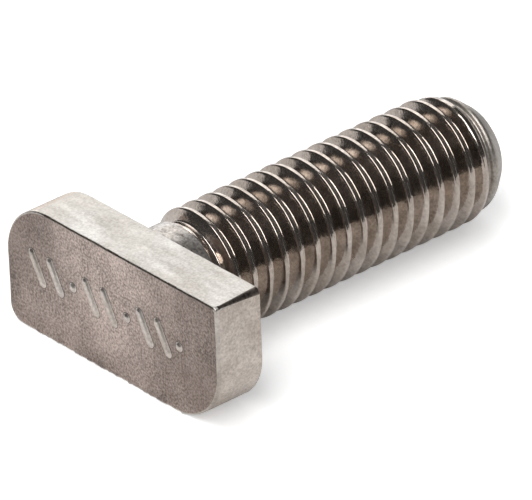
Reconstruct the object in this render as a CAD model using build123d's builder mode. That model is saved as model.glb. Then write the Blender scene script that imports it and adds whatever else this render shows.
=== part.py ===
"""T slot bolt M10 x 30: one forged and thread-rolled piece of stainless steel.

Frame: origin in the middle of the bearing face under the head, +X along the
shank to the tip, +Y along the head's long side, +Z up. All in millimetres.
The thread's section is cut as one groove in each pitch; its lead is left out.
"""

from build123d import *
import os

os.makedirs("parts", exist_ok=True)

# Head plate. The corner radii are shares of its width.
HEAD_LENGTH = 23.5
HEAD_WIDTH = 10.4
HEAD_THICKNESS = 4.2
TURNING_CORNER = 0.47  # two big corners on one diagonal, which let it turn in a slot
STOPPING_CORNER = 0.13  # the low corner on the other diagonal, which stops it
SHARP_CORNER = 0.04  # the high corner on that diagonal
RIM_BEVEL = 0.045  # rim of the outer face, as a share of the thickness

# Plain neck between the head and the thread
NECK_DIAMETER = 9.0
NECK_LENGTH = 2.9
NECK_FLARE = 0.45  # the small cone where the neck meets the head

# Thread. Its section is given in shares of the pitch.
THREAD_DIAMETER = 10.0
PITCH = 1.5
LENGTH_UNDER_HEAD = 30.6
RUN_OUT = 0.47  # the rise from the neck to the first crest
CREST_WIDTH = 0.28
THREAD_DEPTH = 0.6

# Rounded tip, narrowing in three steps from the thread to the end face
TIP_STEPS = ((3.4, 1.0), (1.9, 0.93), (0.7, 0.84), (0.0, 0.67))  # length left, share of radius

embedded = HEAD_THICKNESS / 2  # the shank's root inside the head
neck_radius = NECK_DIAMETER / 2
flare_radius = neck_radius + NECK_FLARE
crest_radius = THREAD_DIAMETER / 2
root_radius = crest_radius - THREAD_DEPTH * PITCH
thread_start = NECK_LENGTH + RUN_OUT * PITCH
first_groove = thread_start + (1 + CREST_WIDTH) / 2 * PITCH
groove_count = round((LENGTH_UNDER_HEAD - thread_start) / PITCH) - 1
groove_slope = (1 - CREST_WIDTH) / 2 / THREAD_DEPTH
top_radius = crest_radius + PITCH / 10  # where the grooves' sides end, clear of the crests
half_top = (top_radius - root_radius) * groove_slope

with BuildPart() as t_slot_bolt:
    # The head: a plate across the shank, rounded on two opposite corners.
    with BuildSketch(Plane.YZ) as outline:
        Rectangle(HEAD_LENGTH, HEAD_WIDTH)
        turning = outline.vertices().sort_by(Axis((0, 0, 0), (1, 1, 0)))
        fillet([turning[0], turning[-1]], TURNING_CORNER * HEAD_WIDTH)
        stopping = outline.vertices().sort_by(Axis((0, 0, 0), (1, -1, 0)))[-1]
        fillet(stopping, STOPPING_CORNER * HEAD_WIDTH)
        sharp = outline.vertices().sort_by(Axis((0, 0, 0), (1, -1, 0)))[0]
        fillet(sharp, SHARP_CORNER * HEAD_WIDTH)
    extrude(amount=-HEAD_THICKNESS)
    rim = t_slot_bolt.faces().sort_by(Axis.X)[0].edges()
    chamfer(rim, RIM_BEVEL * HEAD_THICKNESS)

    # Half the section of the shank, turned about its axis.
    with BuildSketch(Plane.XZ):
        with BuildLine():
            Polyline(
                (-embedded, 0),
                (-embedded, flare_radius),
                (0, flare_radius),
                (NECK_FLARE, neck_radius),
                (NECK_LENGTH, neck_radius),
                (thread_start, crest_radius),
                *[(LENGTH_UNDER_HEAD - left, share * crest_radius) for left, share in TIP_STEPS],
                (LENGTH_UNDER_HEAD, 0),
                close=True,
            )
        make_face()
        # The grooves, one in each pitch.
        with Locations(*[(first_groove + i * PITCH, 0) for i in range(groove_count)]):
            Polygon(
                (0, root_radius),
                (half_top, top_radius),
                (-half_top, top_radius),
                align=None,
                mode=Mode.SUBTRACT,
            )
    revolve(axis=Axis.X)

t_slot_bolt.part.label = "t_slot_bolt"
export_step(t_slot_bolt.part, "parts/t_slot_bolt.step")
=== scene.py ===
"""T slot bolt M10 x 30, dressed: a plate head, a plain neck and a rolled thread."""

import math

import bpy
from mathutils import Matrix, Quaternion, Vector, noise

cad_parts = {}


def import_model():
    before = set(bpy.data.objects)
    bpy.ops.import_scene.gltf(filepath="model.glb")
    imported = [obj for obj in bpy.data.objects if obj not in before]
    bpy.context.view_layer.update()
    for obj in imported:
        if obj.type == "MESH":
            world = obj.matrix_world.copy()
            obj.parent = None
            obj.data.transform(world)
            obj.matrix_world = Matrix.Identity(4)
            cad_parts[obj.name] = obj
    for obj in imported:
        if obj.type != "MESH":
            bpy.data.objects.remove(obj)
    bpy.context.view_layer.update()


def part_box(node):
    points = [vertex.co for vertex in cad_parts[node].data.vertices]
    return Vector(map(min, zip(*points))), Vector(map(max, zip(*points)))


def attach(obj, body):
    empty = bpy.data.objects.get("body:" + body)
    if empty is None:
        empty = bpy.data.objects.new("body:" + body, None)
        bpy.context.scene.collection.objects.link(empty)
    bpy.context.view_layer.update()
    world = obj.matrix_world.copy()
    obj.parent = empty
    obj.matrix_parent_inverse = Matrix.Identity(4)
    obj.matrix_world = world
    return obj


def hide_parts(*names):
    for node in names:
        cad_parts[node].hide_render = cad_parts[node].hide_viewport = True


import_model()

MM = 0.001
low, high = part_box("t_slot_bolt")

# The slots of the bolt's materials. RIM stands for EDGE, LONG or the dark slot, by where the face is; the
# dark slot is painted shade, and the mark slot paints the raised marks lighter, a painted highlight.
FACE, SIDE, LONG, EDGE, PAINTED_SHADE, MARK_PAINTED_HIGHLIGHT, NECK, THREAD, TIP_END, RIM = range(10)

# Head plate, in millimetres. Its length, width and thickness are the CAD box's.
HEAD_LENGTH = (high.y - low.y) / MM
HEAD_WIDTH = (high.z - low.z) / MM
HEAD_BACK = low.x / MM
FACE_RELIEF = 0.04  # the outer face lies this far inside the CAD box
FRONT = HEAD_BACK + FACE_RELIEF
RIM_ROUNDING, RIM_STEPS = 0.15, 5
BACK_ROUNDING, BACK_STEPS = 0.06, 4
BIG_CORNER, BIG_STEPS = 4.9, 20
SMALL_CORNER, SMALL_STEPS = 1.35, 10
SHARP_CORNER, SHARP_STEPS = 0.28, 8
SHARP_AT_FACE, SHARP_GROWTH = 0.5, 1.1  # shares of SHARP_CORNER: at the face, and gained by the back
SHARP_EXTRA, SHARP_EXTRA_LENGTH = 0.25, 0.5  # rounding added at the face, fading over this length
LEAST_CORNER = 0.02
STRAIGHT_LENGTH, STRAIGHT_CUTS = 3, 60  # a line longer than this is cut into so many
INNER_INSET, RIM_MARGIN = 1.4, 0.08  # rings that hold the flat faces flat
SIDE_STATIONS = (0.3, 0.5, 0.8, 1.5)  # rings behind the outer face
LAST_STATION = -0.5
# The face's top edge gets a dark line of painted shade, this wide.
PAINTED_SHADE_LINE = 0.07  # width of the dark line along the face's top edge
# The sharp corner is painted dark from here back, a painted dark reflection.
PAINTED_SHADE_CORNER_START = 0.4  # the sharp corner is dark from here back
LONG_EDGE = 0.3  # how much of the thickness counts as the long sides

# The forging's unevenness, in millimetres
WAVE_WHOLE, WAVE_GONE = 0.1, 0.5  # distance from a rim
WAVE_BAND = 1.3  # only this near the outline
WAVE_IN, WAVE_IN_SCALE = 0.035, 0.8
WAVE_ALONG, WAVE_ALONG_SCALE = 0.03, 0.6
WAVE_SHIFT = Vector((7, 0, 0))
BURR, BURR_SCALE, BURR_BIAS = 0.16, 2.7, 0.3
BURR_LEVEL, BURR_REACH = 0.2, 0.1  # above the plate's bottom, and behind its face

# Generic marks that stand out of the outer face, in millimetres and degrees
BAR, DOT = 1, 0
MARKS = (
    (8.3, BAR), (6.3, BAR), (4.3, DOT),
    (2.3, BAR), (0.3, BAR), (-1.7, DOT),
    (-3.7, BAR), (-5.7, BAR), (-7.5, DOT),
)  # y, and which mark
MARK_HEIGHT, MARK_WIDTH, MARK_SLANT = 3.0, 0.66, 28
MARK_ROW = 0.3  # how far above the plate's middle the marks are
MARK_SIDES = 24
# Rings of a mark, from inside the plate to its top: distance from the face, and inset. The band between the
# first two rings is the mark's foot, painted dark as painted shade.
MARK_STEPS = ((0.02, -0.18), (-0.012, -0.06), (-0.06, 0.02), (-0.12, 0.08), (-0.17, 0.17), (-0.19, 0.27))

# Neck, in millimetres and degrees round the shank from +Y
NECK_RADIUS = 4.42
FLARE = 0.5
SCORE, SCORE_DEPTH, SCORE_WIDTH = 1.95, 0.05, 0.06  # a fine line, from the +Y side past the top
SCORE_WHOLE, SCORE_GONE = 100, 118
SCORE_LEAN, SCORE_LEAN_START, SCORE_LEAN_POWER = 0.012, 110, 1.2  # it slants away towards the far side
COLLAR_STEP = 0.05  # the neck grows this much by the collar's end
COLLAR_END = 2.65  # the first groove's near wall goes straight round
WALL_BEFORE, WALL_AFTER = 0.05, 0.04  # the near wall, on each side of the collar's end

# Thread and tip, in millimetres
PITCH = 1.5
CREST_RADIUS = 5.0
ROOT_RADIUS = 4.12
FULL_CREST_START, FULL_CREST = 3.0, 3.5  # the first crest grows between these
TIP = high.x / MM
TAPER_START, TAPER = 27.2, 0.28  # the last turns lose some of their height
CHAMFER_START, CHAMFER_RADIUS, CHAMFER = 29.4, 4.3, 0.85  # a point on the chamfer, and its slope
CHAMFER_ROUNDING = 0.15
TIP_ROUNDING, TIP_CURVE = 0.2, 2.5
OUTER_ROUNDING, CUT_ROUNDING, ROOT_ROUNDING = 0.02, 0.05, 0.03  # where the forms meet
CREST_AT_SIDE = 1.5  # where a crest crosses the +Y side of the shank
CREST_TO_HEAD = 0.12  # from the middle of the crest to each flank
CREST_TO_TIP = 0.13
HEAD_SIDE_ROUNDING, TIP_SIDE_ROUNDING = 0.13, 0.05
HEAD_SIDE_FILLET, TIP_SIDE_FILLET = 0.15, 0.05
FLANK_SLOPE = 1.75
WEAR, WEAR_SCALE, WEAR_SEED = 0.006, 0.9, 3.1
JITTER, JITTER_SCALE, JITTER_SEED = 0.02, 26, 5.7
ROOT_INSIDE, ROOT_CLOSING = -1, 8  # the shank starts this deep in the head, and how fast it closes there
TIP_CLOSING = 3
GRID_START = -2.5  # before the shank's closed end inside the head
TURNS_PAST_TIP = 3  # as many as it takes to close the end face all the way round
COLUMNS = 128
ROW_PHASES = (
    -.485, -.465, -.45, -.437, -.424, -.411, -.398, -.385, -.37, -.355, -.24,
    -.137, -.122, -.108, -.095, -.083, -.071, -.058, -.045, -.02, .02,
    .055, .07, .08, .09, .105, .25, .40, .42, .46,
)
NECK_OVERLAP, TIP_OVERLAP = 0.02, 0.9  # how far those materials reach over the thread
WELD_DISTANCE = 1e-6

# Materials
RAMP_DARK, RAMP_LIGHT = 0.36, 0.64
PATCH_DETAIL, PATCH_ROUGHNESS, GRAIN_DETAIL, STAIN_DETAIL = 5, 0.65, 2, 3
STAIN_SCALE = 0.4  # share of the patches' scale

# Stage: lengths in metres, angles in degrees
FLOOR_SIZE, FLOOR_COLOUR = 4.0, (0.9, 0.9, 0.9, 1)
FLOOR_GLOW, MIRRORED_GLOW = 0.42, 0.06
WALL_TILT = (0.02, -0.075, 1)  # the wall's top edge is higher at the back left
# The wall and room's grey by height
ROOM = ((0.0, 0.95), (0.015, 0.072), (0.65, 0.085), (0.85, 0.16))
LAMP_DISTANCE = 1.5
CAMERA_ANGLES = (-39.59, 29.82, -2.46)  # azimuth, elevation and roll
CAMERA_AIM = (7.07, -4.08, 2.34)  # in millimetres
CAMERA_DISTANCE, CAMERA_LENS, CAMERA_CLIP = 0.7192, 676.7, (0.01, 50)


# ---------------------------------------------------------------- meshes


def smooth_min(a, b, k):
    """The lower of a and b, with their meeting rounded over k."""
    h = max(k - abs(a - b), 0) / k
    return min(a, b) - h * h * k / 4


def smooth_max(a, b, k):
    """The higher of a and b, with their meeting rounded over k."""
    return -smooth_min(-a, -b, k)


def blend(x, start, end):
    """0 before start, 1 after end, smooth between them."""
    t = min(max((x - start) / (end - start), 0), 1)
    return t * t * (3 - 2 * t)


def thread_radius(phase, along):
    """The rolled thread's section. phase is in pitches, and along in turns from the head."""
    u = phase * PITCH
    wear = noise.noise(Vector((along * WEAR_SCALE, WEAR_SEED, 0)))
    u += JITTER * noise.noise(Vector((along * JITTER_SCALE, JITTER_SEED, 0)))
    crest = CREST_RADIUS - WEAR * (1 + wear)
    to_head = CREST_RADIUS + (u + CREST_TO_HEAD) * FLANK_SLOPE
    to_tip = CREST_RADIUS - (u - CREST_TO_TIP) * FLANK_SLOPE
    ridge = smooth_min(smooth_min(crest, to_head, HEAD_SIDE_ROUNDING), to_tip, TIP_SIDE_ROUNDING)
    return smooth_max(ridge, ROOT_RADIUS, HEAD_SIDE_FILLET if u < 0 else TIP_SIDE_FILLET)


def envelope(x, angle):
    """How far out the shank reaches at x, thread or no thread."""
    if x < FLARE:
        return NECK_RADIUS + FLARE * (1 - max(x, 0) / FLARE) ** 2
    degrees = math.degrees(angle)
    score = SCORE - SCORE_LEAN * max(SCORE_LEAN_START - degrees, 0) ** SCORE_LEAN_POWER
    collar = NECK_RADIUS + COLLAR_STEP * blend(x, FLARE, COLLAR_END)
    groove = math.exp(-(((x - score) / SCORE_WIDTH) ** 2))
    collar -= SCORE_DEPTH * (1 - blend(degrees, SCORE_WHOLE, SCORE_GONE)) * groove
    outer = collar + (ROOT_RADIUS - collar) * blend(x, COLLAR_END - WALL_BEFORE, COLLAR_END + WALL_AFTER)
    outer += (CREST_RADIUS - ROOT_RADIUS) * blend(x, FULL_CREST_START, FULL_CREST)
    taper = CREST_RADIUS - TAPER * max(x - TAPER_START, 0)
    chamfer = CHAMFER_RADIUS - CHAMFER * (x - CHAMFER_START)
    end = max(x - TIP + TIP_ROUNDING, 0)
    narrowed = smooth_min(taper, chamfer, CHAMFER_ROUNDING)
    return smooth_min(outer, narrowed, OUTER_ROUNDING) - TIP_CURVE * end**2


def shank_radius(x, angle, phase, along):
    """Radius of the shank at x, all features taken together."""
    outer = envelope(x, angle)
    if x < COLLAR_END + WALL_AFTER:
        return outer
    cut = smooth_min(outer, thread_radius(phase, along), CUT_ROUNDING)
    return smooth_max(min(ROOT_RADIUS, outer), cut, ROOT_ROUNDING)


def shank_point(row, column):
    """A point on the helical grid: rows follow the thread, columns run along the shank."""
    turn, step = divmod(row, len(ROW_PHASES))
    phase = ROW_PHASES[step]
    angle = 2 * math.pi * column / COLUMNS
    x = CREST_AT_SIDE + (turn + phase - column / COLUMNS) * PITCH
    along = turn - column / COLUMNS
    if x < ROOT_INSIDE:
        radius = max(0, NECK_RADIUS + (x - ROOT_INSIDE) * ROOT_CLOSING)
        x = ROOT_INSIDE
    elif x > TIP:
        radius = max(0, envelope(TIP, angle) - (x - TIP) * TIP_CLOSING)
        x = TIP
    else:
        radius = shank_radius(x, angle, phase, along)
    return Vector((x, radius * math.cos(angle), radius * math.sin(angle))) * MM


def shank():
    """Vertices and faces of the neck, thread and tip."""
    per_turn = len(ROW_PHASES)
    first = int((GRID_START - CREST_AT_SIDE) / PITCH) * per_turn
    last = int((TIP + TURNS_PAST_TIP * PITCH - CREST_AT_SIDE) / PITCH) * per_turn
    points = [shank_point(row, column) for row in range(first, last) for column in range(COLUMNS)]
    faces = []
    for row in range(last - first - 1):
        for column in range(COLUMNS):
            side, back = (column + 1, 0) if column + 1 < COLUMNS else (0, per_turn)
            if row < back:
                continue
            a = row * COLUMNS + column
            b = (row - back) * COLUMNS + side
            faces.append((a, b, b + COLUMNS, a + COLUMNS))
    return points, faces


def outline(inset, sharp):
    """The head's outline in the YZ plane, and for each of its lines whether it is in the sharp corner."""
    half_y, half_z = HEAD_LENGTH / 2 - inset, HEAD_WIDTH / 2 - inset
    corners = (
        (1, 1, BIG_CORNER, 0, BIG_STEPS),
        (-1, 1, sharp, 90, SHARP_STEPS),
        (-1, -1, BIG_CORNER, 180, BIG_STEPS),
        (1, -1, SMALL_CORNER, 270, SMALL_STEPS),
    )
    points, in_sharp = [], []
    for side_y, side_z, radius, start, steps in corners:
        r = max(radius - inset, LEAST_CORNER)
        centre = Vector((0, side_y * (half_y - r), side_z * (half_z - r)))
        arc = [start + 90 * i / steps for i in range(steps + 1)]
        turned = [Vector((0, math.cos(math.radians(a)), math.sin(math.radians(a)))) for a in arc]
        points.extend(centre + r * direction for direction in turned)
        in_sharp.extend(radius == sharp and i < steps for i in range(steps + 1))
    divided, flags = [], []
    for i, point in enumerate(points):
        after = points[(i + 1) % len(points)]
        cuts = STRAIGHT_CUTS if (after - point).length > STRAIGHT_LENGTH else 1
        divided.extend(point.lerp(after, k / cuts) for k in range(cuts))
        flags.extend([in_sharp[i]] * cuts)
    return divided, flags


def wavered(point):
    """The point with the forging's unevenness: wavering rims, and a burr at the bottom front edge."""
    near_rim = 1 - blend(min(point.x - FRONT, -point.x), WAVE_WHOLE, WAVE_GONE)
    side = max(abs(point.y) - HEAD_LENGTH / 2, abs(point.z) - HEAD_WIDTH / 2)
    if side > -WAVE_BAND:
        wave = noise.noise(point * WAVE_IN_SCALE) * WAVE_IN * near_rim
        point.z -= math.copysign(abs(wave), point.z)
        point.x += noise.noise(point * WAVE_ALONG_SCALE + WAVE_SHIFT) * WAVE_ALONG * near_rim
    if point.z < BURR_LEVEL - HEAD_WIDTH / 2 and point.x < FRONT + BURR_REACH:
        point.x -= BURR * max(noise.noise(point * BURR_SCALE) + BURR_BIAS, 0)
    return point


def head_rings():
    """Each ring of the head plate: its x, its inset from the outline and the slot of the faces after it."""
    rings = [(FRONT, INNER_INSET, FACE), (FRONT, RIM_ROUNDING + RIM_MARGIN, FACE)]
    for i in range(RIM_STEPS + 1):
        a = math.radians(90 * i / RIM_STEPS)
        rings.append((FRONT + RIM_ROUNDING * (1 - math.cos(a)), RIM_ROUNDING * (1 - math.sin(a)), RIM))
    rings += [(FRONT + x, 0, SIDE) for x in SIDE_STATIONS]
    rings.append((LAST_STATION, 0, SIDE))
    for i in range(BACK_STEPS + 1):
        a = math.radians(90 * i / BACK_STEPS)
        rings.append((-BACK_ROUNDING * (1 - math.sin(a)), BACK_ROUNDING * (1 - math.cos(a)), SIDE))
    return rings + [(0, BACK_ROUNDING + RIM_MARGIN, FACE), (0, INNER_INSET, FACE)]


def head():
    """Vertices, faces and slots of the head plate, with its rims rounded."""
    rings = head_rings()
    points = []
    for x, inset, _ in rings:
        share = SHARP_AT_FACE + SHARP_GROWTH * (x - FRONT) / (0 - FRONT)
        extra = SHARP_EXTRA * (1 - blend(x, FRONT, FRONT + SHARP_EXTRA_LENGTH))
        line, in_sharp = outline(inset, SHARP_CORNER * share + extra)
        points.extend(wavered(Vector((x, p.y, p.z))) * MM for p in line)
    count = len(in_sharp)
    faces = [tuple(reversed(range(count)))]
    slots = [FACE]
    for i, (_, _, slot) in enumerate(rings[:-1]):
        for j in range(count):
            k = (j + 1) % count
            face = (i * count + j, i * count + k, (i + 1) * count + k, (i + 1) * count + j)
            faces.append(face)
            centre = sum((points[n] for n in face), Vector()) / 4 / MM
            slots.append(head_slot(slot, centre, in_sharp[j]))
    faces.append(tuple((len(rings) - 1) * count + j for j in range(count)))
    return points, faces, slots + [FACE]


def head_slot(slot, centre, in_sharp):
    """The slot of a face of the head, from its ring's slot and its place."""
    on_top = centre.z > HEAD_WIDTH / 2 - RIM_ROUNDING
    # The front strip of the top rim is painted dark: painted shade along the face's top edge.
    if slot == RIM and on_top:
        return PAINTED_SHADE if centre.x - FRONT < PAINTED_SHADE_LINE else LONG
    if slot == RIM:
        return EDGE
    if slot == FACE:
        return FACE
    # Back from the face, the sharp corner is painted dark, a painted dark reflection.
    if in_sharp:
        return PAINTED_SHADE if centre.x > FRONT + PAINTED_SHADE_CORNER_START else EDGE
    return LONG if abs(centre.z) > HEAD_WIDTH / 2 - LONG_EDGE else SIDE


def mark(y, tall):
    """A raised slanted bar, or a dot, on the head's outer face. tall is BAR or DOT."""
    reach = (MARK_HEIGHT - MARK_WIDTH) / 2 * tall
    slant = math.radians(MARK_SLANT)
    along = Vector((0, math.sin(slant), math.cos(slant)))
    across = Vector((0, math.cos(slant), -math.sin(slant)))
    middle = Vector((FRONT, y, MARK_ROW))
    points = []
    for x, inset in MARK_STEPS:
        radius = MARK_WIDTH / 2 - inset
        for i in range(MARK_SIDES):
            angle = 2 * math.pi * (i + 0.5) / MARK_SIDES
            end = math.copysign(reach, math.sin(angle))
            lift = (end + radius * math.sin(angle)) * along + radius * math.cos(angle) * across
            points.append((middle + lift + Vector((x, 0, 0))) * MM)
    last = (len(MARK_STEPS) - 1) * MARK_SIDES
    faces = []
    for row in range(0, last, MARK_SIDES):
        for j in range(MARK_SIDES):
            k = (j + 1) % MARK_SIDES
            faces.append((row + j, row + k, row + MARK_SIDES + k, row + MARK_SIDES + j))
    faces.append(tuple(last + j for j in range(MARK_SIDES)))
    faces.append(tuple(reversed(range(MARK_SIDES))))
    return points, faces


def shank_slot(x):
    """The slot of a face of the shank, from how far under the head it is."""
    if x < COLLAR_END + NECK_OVERLAP:
        return NECK
    return TIP_END if x > CHAMFER_START - TIP_OVERLAP else THREAD


def bolt():
    """The whole bolt as one piece."""
    points, faces = shank()
    slots = [shank_slot(sum(points[i].x for i in face) / 4 / MM) for face in faces]
    head_points, head_faces, head_slots = head()
    offset = len(points)
    faces.extend(tuple(i + offset for i in face) for face in head_faces)
    slots += head_slots
    points += head_points
    for y, tall in MARKS:
        mark_points, mark_faces = mark(y, tall)
        offset = len(points)
        faces.extend(tuple(i + offset for i in face) for face in mark_faces)
        # Each mark's foot ring is painted dark, painted shade round its base; the rest of the mark is
        # painted lighter, a painted highlight.
        slots.extend([PAINTED_SHADE] * MARK_SIDES + [MARK_PAINTED_HIGHLIGHT] * (len(mark_faces) - MARK_SIDES))
        points += mark_points
    mesh = bpy.data.meshes.new("bolt")
    mesh.from_pydata(points, [], faces)
    mesh.validate()
    for material in materials():
        mesh.materials.append(material)
    for polygon, slot in zip(mesh.polygons, slots):
        polygon.material_index = slot
    mesh.shade_smooth()
    piece = bpy.data.objects.new("bolt", mesh)
    bpy.context.collection.objects.link(piece)
    weld = piece.modifiers.new("weld", "WELD")
    weld.merge_threshold = WELD_DISTANCE
    return piece


# ------------------------------------------------------------- materials


def noise_texture(material, scale, detail, place_out):
    """A noise over the surface."""
    texture = material.node_tree.nodes.new("ShaderNodeTexNoise")
    texture.inputs["Scale"].default_value = scale
    texture.inputs["Detail"].default_value = detail
    material.node_tree.links.new(place_out, texture.inputs["Vector"])
    return texture


def stain(material, colour_out, scale, place_out, colour, spread, amounts):
    """Broad darker stains over a colour, more of them away from the middle by spread."""
    nodes, links = material.node_tree.nodes, material.node_tree.links
    clouds = noise_texture(material, scale, STAIN_DETAIL, place_out)
    away = nodes.new("ShaderNodeVectorMath")
    away.operation = "MULTIPLY"
    away.inputs[1].default_value = spread
    links.new(place_out, away.inputs[0])
    far = nodes.new("ShaderNodeVectorMath")
    far.operation = "LENGTH"
    links.new(away.outputs["Vector"], far.inputs[0])
    both = nodes.new("ShaderNodeMath")
    links.new(clouds.outputs["Fac"], both.inputs[0])
    links.new(far.outputs["Value"], both.inputs[1])
    amount = nodes.new("ShaderNodeMapRange")
    amount.inputs["From Min"].default_value = amounts[0]
    amount.inputs["From Max"].default_value = amounts[1]
    links.new(both.outputs[0], amount.inputs["Value"])
    tint = nodes.new("ShaderNodeMix")
    tint.data_type = "RGBA"
    tint.blend_type = "MULTIPLY"
    tint.inputs["B"].default_value = (*colour, 1)
    links.new(amount.outputs["Result"], tint.inputs["Factor"])
    links.new(colour_out, tint.inputs["A"])
    return tint.outputs["Result"]


def mottled(material, place_out, grain_out, patch, share, stretch, dark, light):
    """The colour between dark and light that broad patches and the grain give together."""
    nodes, links = material.node_tree.nodes, material.node_tree.links
    mapping = nodes.new("ShaderNodeMapping")
    mapping.inputs["Scale"].default_value = stretch
    links.new(place_out, mapping.inputs["Vector"])
    patches = noise_texture(material, patch, PATCH_DETAIL, mapping.outputs["Vector"])
    patches.inputs["Roughness"].default_value = PATCH_ROUGHNESS
    mix = nodes.new("ShaderNodeMix")
    mix.inputs["Factor"].default_value = share
    links.new(patches.outputs["Fac"], mix.inputs["A"])
    links.new(grain_out, mix.inputs["B"])
    ramp = nodes.new("ShaderNodeValToRGB")
    ramp.color_ramp.elements[0].position = RAMP_DARK
    ramp.color_ramp.elements[0].color = (*dark, 1)
    ramp.color_ramp.elements[1].position = RAMP_LIGHT
    ramp.color_ramp.elements[1].color = (*light, 1)
    links.new(mix.outputs["Result"], ramp.inputs["Fac"])
    return ramp.outputs["Color"]


def steel(
    name, dark, light, roughness, grain, patch, share, bump,
    stretch=(1, 1, 1), stained=(.9, .88, .85), spread=(0, 0, 0), amounts=(.38, .62),
):
    """Steel mottled between two colours: broad patches and a fine grain, both in noise.

    patch and grain are their scales, share is the grain's part of the mottling, and bump the
    grain's height in millimetres. stained, spread and amounts are those of stain.
    """
    material = bpy.data.materials.new(name)
    material.use_nodes = True
    nodes, links = material.node_tree.nodes, material.node_tree.links
    shader = nodes["Principled BSDF"]
    shader.inputs["Metallic"].default_value = 1.0
    spot = nodes.new("ShaderNodeTexCoord").outputs["Object"]
    grain_out = noise_texture(material, grain, GRAIN_DETAIL, spot).outputs["Fac"]
    bare = mottled(material, spot, grain_out, patch, share, stretch, dark, light)
    colour = stain(material, bare, patch * STAIN_SCALE, spot, stained, spread, amounts)
    links.new(colour, shader.inputs["Base Color"])
    rough = nodes.new("ShaderNodeMapRange")
    rough.inputs["To Min"].default_value = roughness[0]
    rough.inputs["To Max"].default_value = roughness[1]
    links.new(grain_out, rough.inputs["Value"])
    links.new(rough.outputs["Result"], shader.inputs["Roughness"])
    relief = nodes.new("ShaderNodeBump")
    relief.inputs["Strength"].default_value = 1.0
    relief.inputs["Distance"].default_value = bump * MM
    links.new(grain_out, relief.inputs["Height"])
    links.new(relief.outputs["Normal"], shader.inputs["Normal"])
    return material


def materials():
    """The bolt's surfaces, in the order of their slot numbers."""
    return (
        steel(
            "blasted_face", (.27, .22, .195), (.83, .705, .645), (.45, .6), 5500, 240, 0.62, 0.014,
            stained=(.53, .51, .50), spread=(0, 52, 28), amounts=(.6, 1.0),
        ),
        steel("sheared_end", (.46, .40, .36), (.74, .67, .61), (.4, .55), 5500, 500, 0.6, 0.01),
        steel(
            "rolled_edge", (.385, .36, .33), (.655, .635, .605), (.4, .55), 5500, 450, 0.45, 0.01,
            stretch=(2, .5, 2),
        ),
        steel("worn_corner", (.42, .38, .345), (.66, .61, .56), (.25, .4), 5000, 700, 0.5, 0.004),
        # Near-black steel that is painted shade: the line on the face's top edge, the strip on the sharp
        # corner and the rings round the marks' feet.
        steel("painted_shade_edge", (.06, .05, .045), (.20, .17, .15), (.4, .55), 5000, 700, 0.5, 0.01),
        # The raised marks are painted lighter than the face, a painted highlight on them.
        steel("mark_top_painted_highlight", (.48, .43, .395), (.80, .74, .69), (.25, .4), 5000, 700, 0.5, 0.008),
        steel("neck", (.22, .20, .19), (.66, .63, .60), (.32, .5), 5000, 1400, 0.5, 0.016),
        steel("rolled_thread", (.36, .315, .28), (.60, .53, .48), (.10, .18), 4500, 900, 0.45, 0.007),
        steel("tip", (.28, .255, .235), (.54, .505, .47), (.35, .5), 5000, 900, 0.5, 0.01),
    )


# ----------------------------------------------------------------- stage


def white_sheet():
    """White paper that glows a little to the camera and in reflections, and keeps shadows."""
    material = bpy.data.materials.new("white_sheet")
    material.use_nodes = True
    nodes, links = material.node_tree.nodes, material.node_tree.links
    nodes.clear()
    diffuse = nodes.new("ShaderNodeBsdfDiffuse")
    diffuse.inputs["Color"].default_value = FLOOR_COLOUR
    glow = nodes.new("ShaderNodeEmission")
    path = nodes.new("ShaderNodeLightPath")
    seen = nodes.new("ShaderNodeMath")
    seen.operation = "MAXIMUM"
    links.new(path.outputs["Is Glossy Ray"], seen.inputs[0])
    links.new(path.outputs["Is Transmission Ray"], seen.inputs[1])
    mirrored = nodes.new("ShaderNodeMath")
    mirrored.operation = "MULTIPLY"
    mirrored.inputs[1].default_value = MIRRORED_GLOW
    links.new(seen.outputs[0], mirrored.inputs[0])
    direct = nodes.new("ShaderNodeMath")
    direct.operation = "MULTIPLY_ADD"
    direct.inputs[1].default_value = FLOOR_GLOW
    links.new(path.outputs["Is Camera Ray"], direct.inputs[0])
    links.new(mirrored.outputs[0], direct.inputs[2])
    links.new(direct.outputs[0], glow.inputs["Strength"])
    both = nodes.new("ShaderNodeAddShader")
    links.new(diffuse.outputs[0], both.inputs[0])
    links.new(glow.outputs[0], both.inputs[1])
    output = nodes.new("ShaderNodeOutputMaterial")
    links.new(both.outputs[0], output.inputs["Surface"])
    return material


def floor():
    """A pale sheet under the bolt."""
    mesh = bpy.data.meshes.new("floor")
    size, level = FLOOR_SIZE, low.z
    corners = [(-size, -size, level), (size, -size, level), (size, size, level), (-size, size, level)]
    mesh.from_pydata(corners, [], [(0, 1, 2, 3)])
    sheet = bpy.data.objects.new("floor", mesh)
    bpy.context.collection.objects.link(sheet)
    mesh.materials.append(white_sheet())


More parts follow.
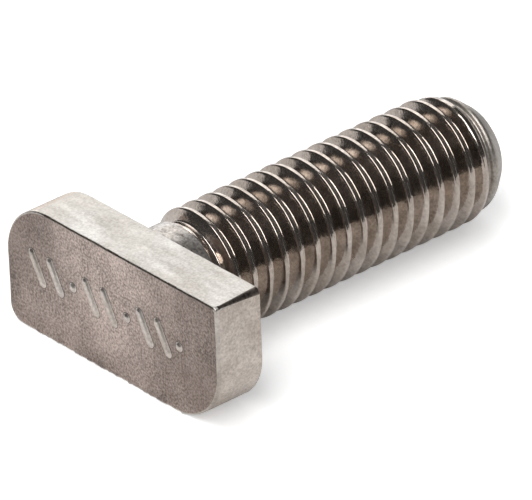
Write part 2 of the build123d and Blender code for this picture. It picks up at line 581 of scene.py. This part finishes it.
def world():
    """A pale wall up to a low height, and a dim room above it."""
    room = bpy.data.worlds.new("room")
    bpy.context.scene.world = room
    room.use_nodes = True
    nodes, links = room.node_tree.nodes, room.node_tree.links
    background = nodes["Background"]
    place = nodes.new("ShaderNodeTexCoord")
    height = nodes.new("ShaderNodeVectorMath")
    height.operation = "DOT_PRODUCT"
    height.inputs[1].default_value = WALL_TILT
    links.new(place.outputs["Generated"], height.inputs[0])
    ramp = nodes.new("ShaderNodeValToRGB")
    elements = ramp.color_ramp.elements
    elements[0].position, elements[1].position = ROOM[0][0], ROOM[1][0]
    for at, _ in ROOM[2:]:
        elements.new(at)
    for element, (_, grey) in zip(elements, ROOM):
        element.color = (grey, grey, grey, 1)
    links.new(height.outputs["Value"], ramp.inputs["Fac"])
    links.new(ramp.outputs["Color"], background.inputs["Color"])


def softbox(name, direction, width, height, radiance, roll=0):
    """A soft lamp seen from the bolt in that direction, of that radiance, rolled by degrees."""
    lamp = bpy.data.lights.new(name, "AREA")
    lamp.shape = "RECTANGLE"
    lamp.size, lamp.size_y = width, height
    lamp.energy = radiance * math.pi * width * height
    holder = bpy.data.objects.new(name, lamp)
    bpy.context.collection.objects.link(holder)
    towards = Vector(direction).normalized()
    holder.location = towards * LAMP_DISTANCE
    rolled = towards.to_track_quat("Z", "Y") @ Quaternion((0, 0, 1), math.radians(roll))
    holder.rotation_euler = rolled.to_euler()


def camera():
    """A long lens, low over the head's corner, a little rolled."""
    data = bpy.data.cameras.new("camera")
    data.lens = CAMERA_LENS
    data.clip_start, data.clip_end = CAMERA_CLIP
    eye = bpy.data.objects.new("camera", data)
    bpy.context.collection.objects.link(eye)
    azimuth, elevation, roll = (math.radians(v) for v in CAMERA_ANGLES)
    level = math.cos(elevation)
    back = Vector((math.sin(azimuth) * level, -math.cos(azimuth) * level, math.sin(elevation)))
    turn = back.to_track_quat("Z", "Y").to_matrix() @ Matrix.Rotation(roll, 3, "Z")
    eye.matrix_world = Matrix.Translation(Vector(CAMERA_AIM) * MM + back * CAMERA_DISTANCE) @ turn.to_4x4()
    bpy.context.scene.camera = eye


# ------------------------------------------------------------------ run

piece = bolt()
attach(piece, "root")
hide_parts("t_slot_bolt")

floor()
world()
softbox("top", (-0.44, -0.30, 0.845), width=0.6, height=1.5, radiance=6.6, roll=32)
softbox("high_back", (0.2, 0.62, 0.76), width=0.8, height=0.7, radiance=1.1)
softbox("back", (0.52, 0.71, 0.47), width=1.15, height=1.5, radiance=1.8)
camera()

bpy.context.scene.view_settings.view_transform = "Standard"
